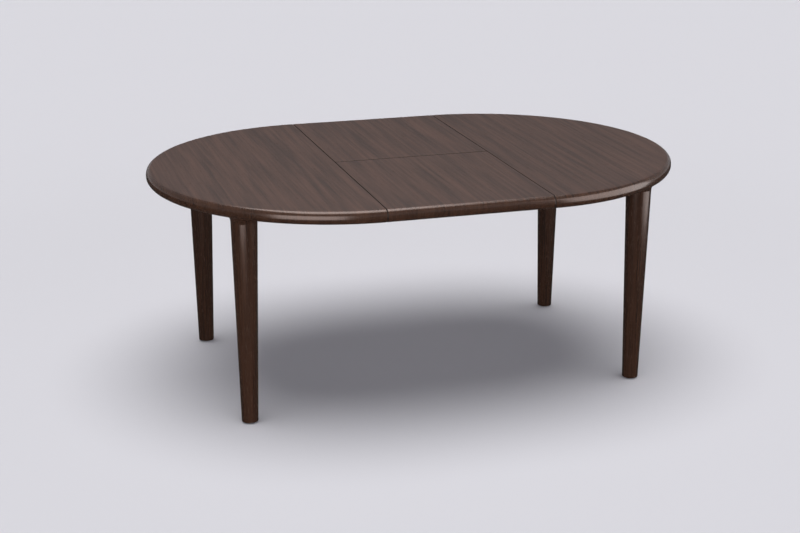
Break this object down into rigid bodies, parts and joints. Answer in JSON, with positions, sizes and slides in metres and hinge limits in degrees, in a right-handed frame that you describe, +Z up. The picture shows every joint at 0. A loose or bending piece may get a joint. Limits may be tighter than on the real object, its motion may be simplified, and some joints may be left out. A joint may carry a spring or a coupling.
{
  "type": "extending dining table",
  "caption": "Dining table with half-round tops on geared slides, a folding leaf between them, a full bullnose edge and round tapered legs.",
  "frame": {"origin": "on the floor, under the middle of the table", "axes": "+X along the table's length, to the right half; +Y to the rear; +Z up"},
  "size_m": [1.7898, 1.25, 0.73],
  "materials": {
    "top_wood": "dark stained walnut veneer, satin lacquer",
    "edge_wood": "dark stained solid walnut, satin lacquer",
    "leg_wood": "dark stained solid walnut, satin lacquer",
    "beam_wood": "stained hardwood, matt",
    "carriage_ply": "stained plywood, matt",
    "rail_aluminium": "anodised extrusion",
    "nylon": "black moulded nylon",
    "zinc_steel": "zinc plated",
    "hinge_brass": "plain brass"
  },
  "bodies": {
    "centre_carriage": {"carriage_plate": "carriage_ply", "front_inner_guide": "nylon", "front_outer_guide": "nylon", "guide_screws": "zinc_steel", "pinion_pins": "zinc_steel", "rear_hinge_barrels": "hinge_brass", "rear_inner_guide": "nylon", "rear_leaf": "top_wood", "rear_leaf_edge": "edge_wood", "rear_outer_guide": "nylon"},
    "front_leaf_half": {"front_hinge_barrels": "hinge_brass", "front_leaf": "top_wood", "front_leaf_edge": "edge_wood"},
    "front_gear": {"front_pinion": "nylon"},
    "left_half": {"left_beam_bolts": "zinc_steel", "left_cross_beam": "beam_wood", "left_end_edge": "edge_wood", "left_foot_glides": "nylon", "left_front_edge": "edge_wood", "left_front_leg": "leg_wood", "left_front_rack": "nylon", "left_front_rail": "rail_aluminium", "left_leaf_supports": "zinc_steel", "left_leg_inserts": "zinc_steel", "left_leg_studs": "zinc_steel", "left_rail_bolts": "zinc_steel", "left_rail_stops": "nylon", "left_rear_edge": "edge_wood", "left_rear_leg": "leg_wood", "left_rear_rack": "nylon", "left_rear_rail": "rail_aluminium", "left_support_screws": "zinc_steel", "left_top": "top_wood"},
    "rear_gear": {"rear_pinion": "nylon"},
    "right_half": {"right_beam_bolts": "zinc_steel", "right_cross_beam": "beam_wood", "right_end_edge": "edge_wood", "right_foot_glides": "nylon", "right_front_edge": "edge_wood", "right_front_leg": "leg_wood", "right_front_rack": "nylon", "right_front_rail": "rail_aluminium", "right_leaf_supports": "zinc_steel", "right_leg_inserts": "zinc_steel", "right_leg_studs": "zinc_steel", "right_rail_bolts": "zinc_steel", "right_rail_stops": "nylon", "right_rear_edge": "edge_wood", "right_rear_leg": "leg_wood", "right_rear_rack": "nylon", "right_rear_rail": "rail_aluminium", "right_support_screws": "zinc_steel", "right_top": "top_wood"}
  },
  "joints": [
    {"name": "left_slide", "type": "slide", "parent": "centre_carriage", "child": "left_half", "axis": [-1, 0, 0], "range_m": [0, 0.04]},
    {"name": "right_slide", "type": "slide", "parent": "centre_carriage", "child": "right_half", "axis": [1, 0, 0], "range_m": [0, 0.04]},
    {"name": "front_gear_turn", "type": "hinge", "parent": "centre_carriage", "child": "front_gear", "pos_m": [0, -0.13, 0.625], "axis": [0, 0, 1], "range_deg": [-131, 0]},
    {"name": "rear_gear_turn", "type": "hinge", "parent": "centre_carriage", "child": "rear_gear", "pos_m": [0, 0.13, 0.625], "axis": [0, 0, 1], "range_deg": [0, 131]},
    {"name": "leaf_fold", "type": "hinge", "parent": "centre_carriage", "child": "front_leaf_half", "pos_m": [0, 0, 0.7303], "axis": [-1, 0, 0], "range_deg": [0, 180]}
  ],
  "couplings": [
    {"joint": "right_slide", "follows": "left_slide", "ratio": 1},
    {"joint": "front_gear_turn", "follows": "left_slide", "rad_per_m": -57.143},
    {"joint": "rear_gear_turn", "follows": "left_slide", "rad_per_m": 57.143}
  ]
}
